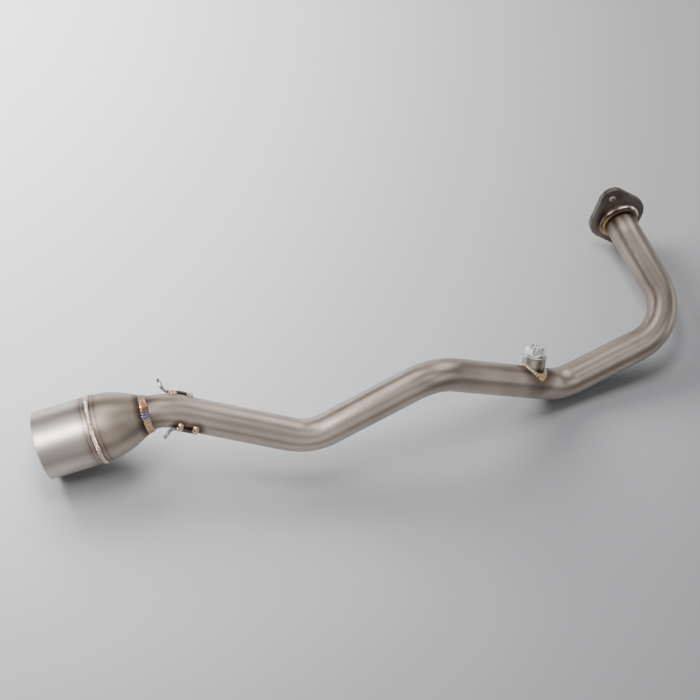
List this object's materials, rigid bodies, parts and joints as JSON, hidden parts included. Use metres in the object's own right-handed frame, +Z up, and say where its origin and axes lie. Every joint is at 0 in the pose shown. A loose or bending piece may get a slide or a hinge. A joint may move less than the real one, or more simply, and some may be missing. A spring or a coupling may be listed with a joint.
{
  "type": "motorcycle exhaust header pipe",
  "caption": "Bent stainless header pipe with a stud flange at the engine end, a capped sensor boss, wire spring hooks and a slip-on outlet cup behind a reducer cone.",
  "frame": {"origin": "under the middle of the bounding box, on the floor", "axes": "+X from the outlet cup towards the front bend, along the cup's axis in plan; +Y towards the engine side of the flange; +Z up, with the pipe lying as it comes to rest"},
  "size_m": [0.729, 0.2154, 0.1162],
  "materials": {
    "pipe_steel": "satin stainless, warm grey with a brown tint",
    "cup_steel": "satin stainless, brighter than the pipe",
    "cone_steel": "satin stainless",
    "weld_metal": "rippled weld metal with copper and straw heat tint",
    "flange_steel": "dull dark grey-brown plate",
    "turned_steel": "turned stainless",
    "washer_aluminium": "bright",
    "plug_steel": "bright plated",
    "hook_wire": "bright drawn wire"
  },
  "bodies": {
    "root": {"header_pipe": "pipe_steel", "outlet_cup": "cup_steel", "reducer_cone": "cone_steel", "cup_weld": "weld_metal", "cone_weld": "weld_metal", "collar_weld": "weld_metal", "boss_weld": "weld_metal", "head_flange": "flange_steel", "flange_collar": "turned_steel", "sensor_boss": "turned_steel", "plug_washer": "washer_aluminium", "boss_plug": "plug_steel", "upper_spring_hook": "hook_wire", "lower_spring_hook": "hook_wire", "upper_hook_tack_front": "weld_metal", "upper_hook_tack_rear": "weld_metal", "lower_hook_tack_front": "weld_metal", "lower_hook_tack_rear": "weld_metal"}
  },
  "joints": []
}
